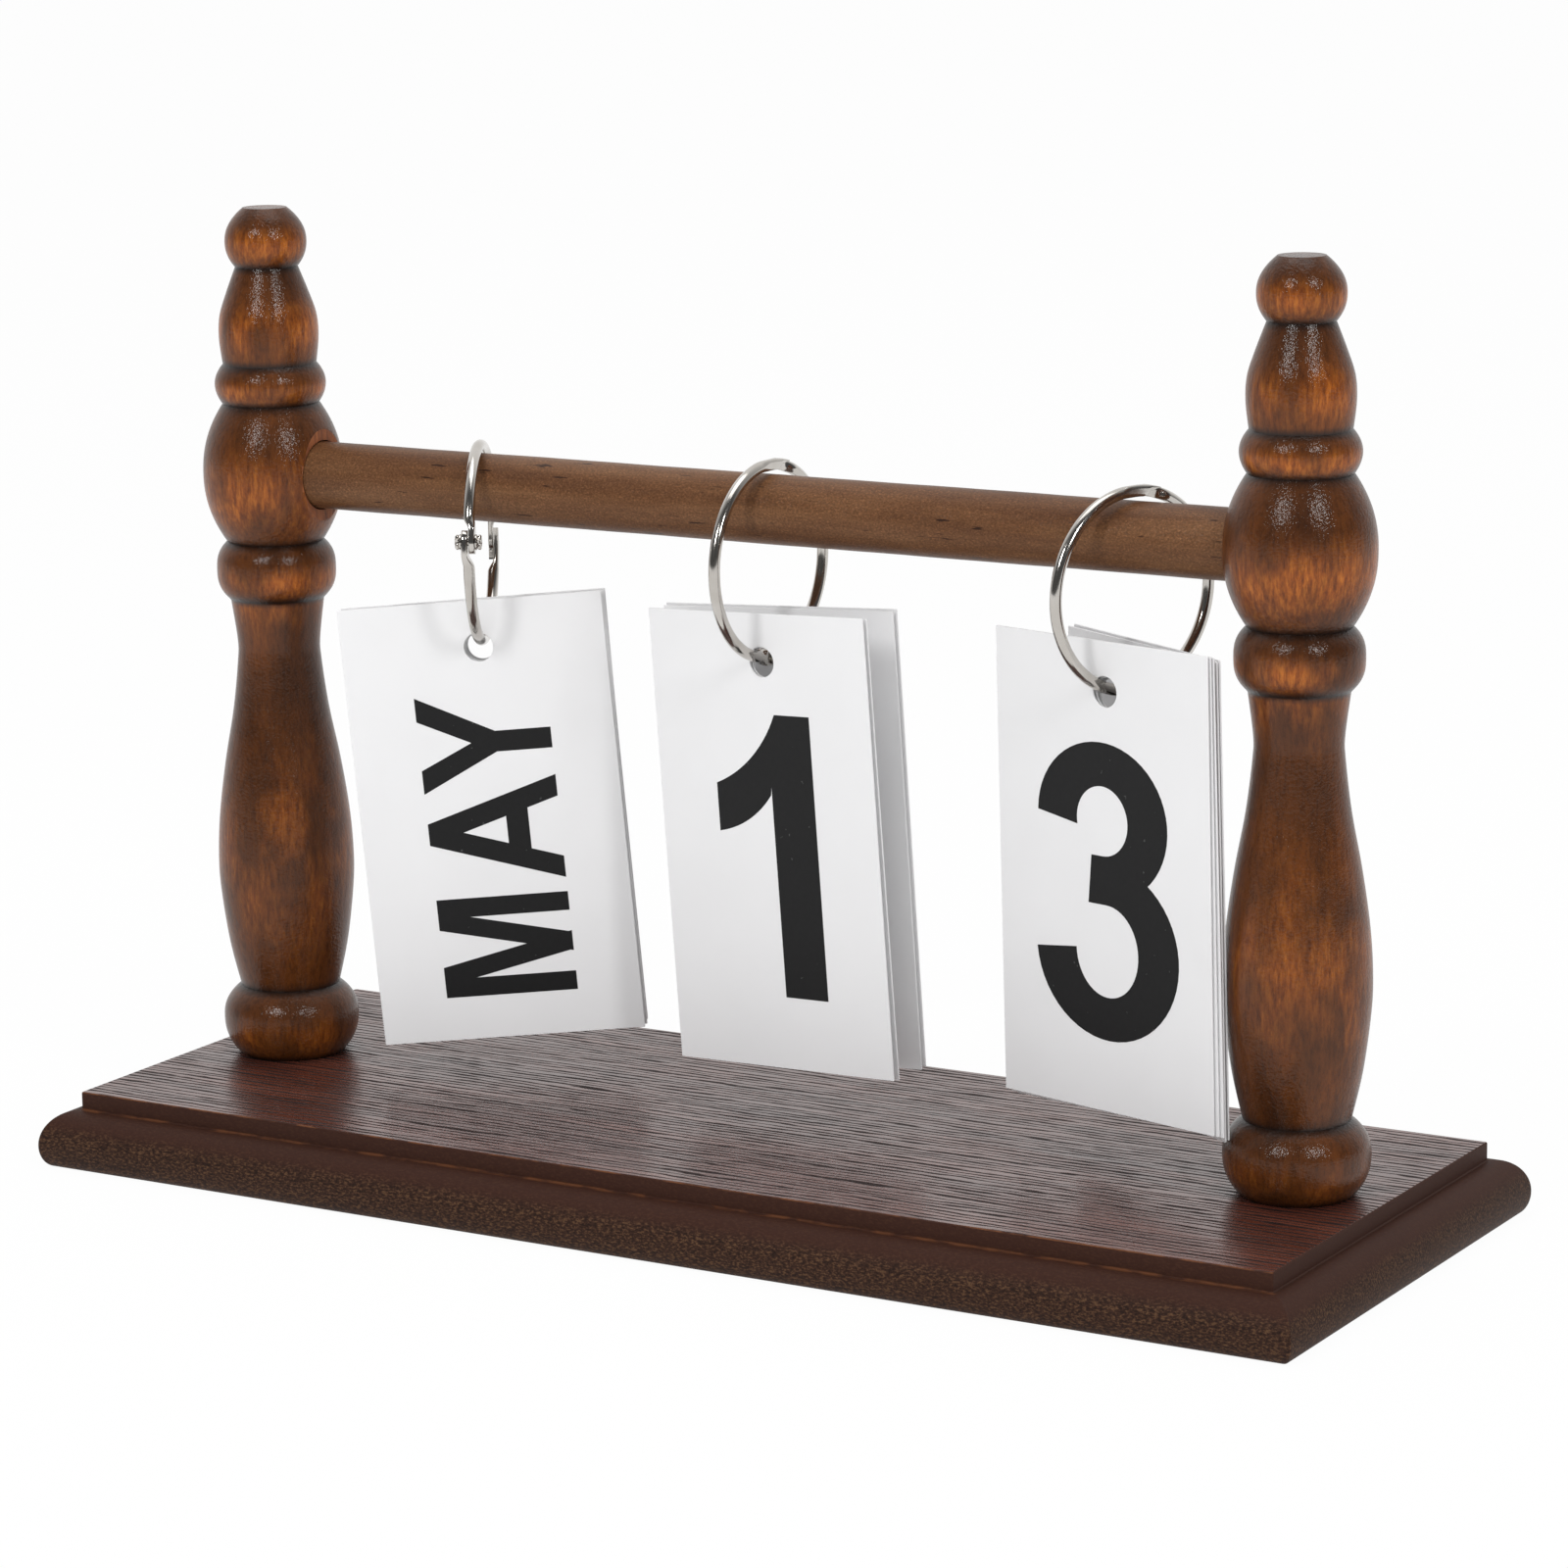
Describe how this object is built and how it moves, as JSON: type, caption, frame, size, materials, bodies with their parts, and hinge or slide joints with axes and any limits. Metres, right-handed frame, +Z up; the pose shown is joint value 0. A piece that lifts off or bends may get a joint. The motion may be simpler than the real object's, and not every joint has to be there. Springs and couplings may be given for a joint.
{
  "type": "perpetual desk calendar",
  "caption": "Wooden desk stand whose crossbar carries hinged wire rings of month and digit cards that flip by hand.",
  "frame": {"origin": "on the floor under the middle of the plinth", "axes": "+X along the stand from the month card to the digit cards, -Y to the front, +Z up"},
  "size_m": [0.307, 0.121, 0.2094],
  "materials": {
    "plinth_wood": "satin dark stain",
    "post_wood": "gloss varnish",
    "bar_wood": "satin",
    "ring_nickel": "bright nickel",
    "screw_steel": "zinc",
    "card_plastic": "semi-matt"
  },
  "bodies": {
    "root": {"base_plinth": "plinth_wood", "left_post": "post_wood", "right_post": "post_wood", "left_post_screw": "screw_steel", "right_post_screw": "screw_steel", "crossbar": "bar_wood"},
    "month_hung_half": {"month_ring_upper_half": "ring_nickel", "month_ring_rivet": "ring_nickel"},
    "month_opening_half": {"month_ring_lower_half": "ring_nickel"},
    "month_card_1": {"month_card_1": "card_plastic"},
    "month_card_2": {"month_card_2": "card_plastic"},
    "month_card_3": {"month_card_3": "card_plastic"},
    "month_card_4": {"month_card_4": "card_plastic"},
    "month_card_5": {"month_card_5": "card_plastic"},
    "month_card_6": {"month_card_6": "card_plastic"},
    "tens_hung_half": {"tens_ring_front_half": "ring_nickel", "tens_ring_rivet": "ring_nickel"},
    "tens_opening_half": {"tens_ring_rear_half": "ring_nickel"},
    "tens_card_1": {"tens_card_1": "card_plastic"},
    "tens_card_2": {"tens_card_2": "card_plastic"},
    "tens_card_3": {"tens_card_3": "card_plastic"},
    "tens_card_4": {"tens_card_4": "card_plastic"},
    "units_hung_half": {"units_ring_front_half": "ring_nickel", "units_ring_rivet": "ring_nickel"},
    "units_opening_half": {"units_ring_rear_half": "ring_nickel"},
    "units_card_1": {"units_card_1": "card_plastic"},
    "units_card_2": {"units_card_2": "card_plastic"},
    "units_card_3": {"units_card_3": "card_plastic"},
    "units_card_4": {"units_card_4": "card_plastic"},
    "units_card_5": {"units_card_5": "card_plastic"}
  },
  "joints": [
    {"name": "month_ring_slide", "type": "slide", "parent": "root", "child": "month_hung_half", "axis": [1, 0, 0], "range_m": [-0.01, 0.01]},
    {"name": "month_ring_open", "type": "hinge", "parent": "month_hung_half", "child": "month_opening_half", "pos_m": [-0.06195, -0.01827, 0.14125], "axis": [-0.898, -0.4399, 0], "range_deg": [0, 25]},
    {"name": "month_card_1_flip", "type": "hinge", "parent": "month_opening_half", "child": "month_card_1", "pos_m": [-0.0709, 0, 0.1368], "axis": [-0.898, -0.4399, 0], "range_deg": [0, 55]},
    {"name": "month_card_2_flip", "type": "hinge", "parent": "month_opening_half", "child": "month_card_2", "pos_m": [-0.0709, 0, 0.1368], "axis": [-0.898, -0.4399, 0], "range_deg": [0, 50]},
    {"name": "month_card_3_flip", "type": "hinge", "parent": "month_opening_half", "child": "month_card_3", "pos_m": [-0.0709, 0, 0.1368], "axis": [-0.898, -0.4399, 0], "range_deg": [0, 44.5]},
    {"name": "month_card_4_flip", "type": "hinge", "parent": "month_opening_half", "child": "month_card_4", "pos_m": [-0.0709, 0, 0.1368], "axis": [-0.898, -0.4399, 0], "range_deg": [0, 39]},
    {"name": "month_card_5_flip", "type": "hinge", "parent": "month_opening_half", "child": "month_card_5", "pos_m": [-0.0709, 0, 0.1368], "axis": [-0.898, -0.4399, 0], "range_deg": [0, 33.5]},
    {"name": "month_card_6_flip", "type": "hinge", "parent": "month_opening_half", "child": "month_card_6", "pos_m": [-0.0709, 0, 0.1368], "axis": [-0.898, -0.4399, 0], "range_deg": [0, 28]},
    {"name": "tens_ring_slide", "type": "slide", "parent": "root", "child": "tens_hung_half", "axis": [1, 0, 0], "range_m": [-0.012, 0.012]},
    {"name": "tens_ring_open", "type": "hinge", "parent": "tens_hung_half", "child": "tens_opening_half", "pos_m": [0.00258, -0.00075, 0.11856], "axis": [-0.9994, 0.0349, 0], "range_deg": [0, 30]},
    {"name": "tens_card_1_flip", "type": "hinge", "parent": "tens_hung_half", "child": "tens_card_1", "pos_m": [0.00261, 0, 0.13915], "axis": [-0.9994, 0.0349, 0], "range_deg": [0, 95]},
    {"name": "tens_card_2_flip", "type": "hinge", "parent": "tens_hung_half", "child": "tens_card_2", "pos_m": [0.00261, 0, 0.13915], "axis": [-0.9994, 0.0349, 0], "range_deg": [0, 90.75]},
    {"name": "tens_card_3_hang", "type": "hinge", "parent": "tens_opening_half", "child": "tens_card_3", "pos_m": [0.00279, 0.00535, 0.11921], "axis": [-0.9994, 0.0349, 0], "range_deg": [-30.5, 0]},
    {"name": "tens_card_4_hang", "type": "hinge", "parent": "tens_opening_half", "child": "tens_card_4", "pos_m": [0.00284, 0.00661, 0.11956], "axis": [-0.9994, 0.0349, 0], "range_deg": [-30.5, 0]},
    {"name": "units_ring_slide", "type": "slide", "parent": "root", "child": "units_hung_half", "axis": [1, 0, 0], "range_m": [-0.02, 0]},
    {"name": "units_ring_open", "type": "hinge", "parent": "units_hung_half", "child": "units_opening_half", "pos_m": [0.08874, -0.0007, 0.11856], "axis": [-0.9397, 0.342, 0], "range_deg": [0, 20]},
    {"name": "units_card_1_flip", "type": "hinge", "parent": "units_hung_half", "child": "units_card_1", "pos_m": [0.089, 0, 0.13915], "axis": [-0.9397, 0.342, 0], "range_deg": [0, 55]},
    {"name": "units_card_2_flip", "type": "hinge", "parent": "units_hung_half", "child": "units_card_2", "pos_m": [0.089, 0, 0.13915], "axis": [-0.9397, 0.342, 0], "range_deg": [0, 52.2]},
    {"name": "units_card_3_flip", "type": "hinge", "parent": "units_hung_half", "child": "units_card_3", "pos_m": [0.089, 0, 0.13915], "axis": [-0.9397, 0.342, 0], "range_deg": [0, 48.9]},
    {"name": "units_card_4_hang", "type": "hinge", "parent": "units_opening_half", "child": "units_card_4", "pos_m": [0.09008, 0.00297, 0.11878], "axis": [-0.9397, 0.342, 0], "range_deg": [-20.5, 0]},
    {"name": "units_card_5_hang", "type": "hinge", "parent": "units_opening_half", "child": "units_card_5", "pos_m": [0.0905, 0.00411, 0.11899], "axis": [-0.9397, 0.342, 0], "range_deg": [-20.5, 0]}
  ],
  "couplings": [
    {"joint": "month_card_2_flip", "follows": "month_card_1_flip", "ratio": 0.9},
    {"joint": "month_card_3_flip", "follows": "month_card_1_flip", "ratio": 0.8},
    {"joint": "month_card_4_flip", "follows": "month_card_1_flip", "ratio": 0.7},
    {"joint": "month_card_5_flip", "follows": "month_card_1_flip", "ratio": 0.6},
    {"joint": "month_card_6_flip", "follows": "month_card_1_flip", "ratio": 0.5},
    {"joint": "tens_card_2_flip", "follows": "tens_card_1_flip", "ratio": 0.95},
    {"joint": "tens_card_3_hang", "follows": "tens_ring_open", "ratio": -1},
    {"joint": "tens_card_4_hang", "follows": "tens_ring_open", "ratio": -1},
    {"joint": "units_card_2_flip", "follows": "units_card_1_flip", "ratio": 0.94},
    {"joint": "units_card_3_flip", "follows": "units_card_1_flip", "ratio": 0.88},
    {"joint": "units_card_4_hang", "follows": "units_ring_open", "ratio": -1},
    {"joint": "units_card_5_hang", "follows": "units_ring_open", "ratio": -1}
  ]
}
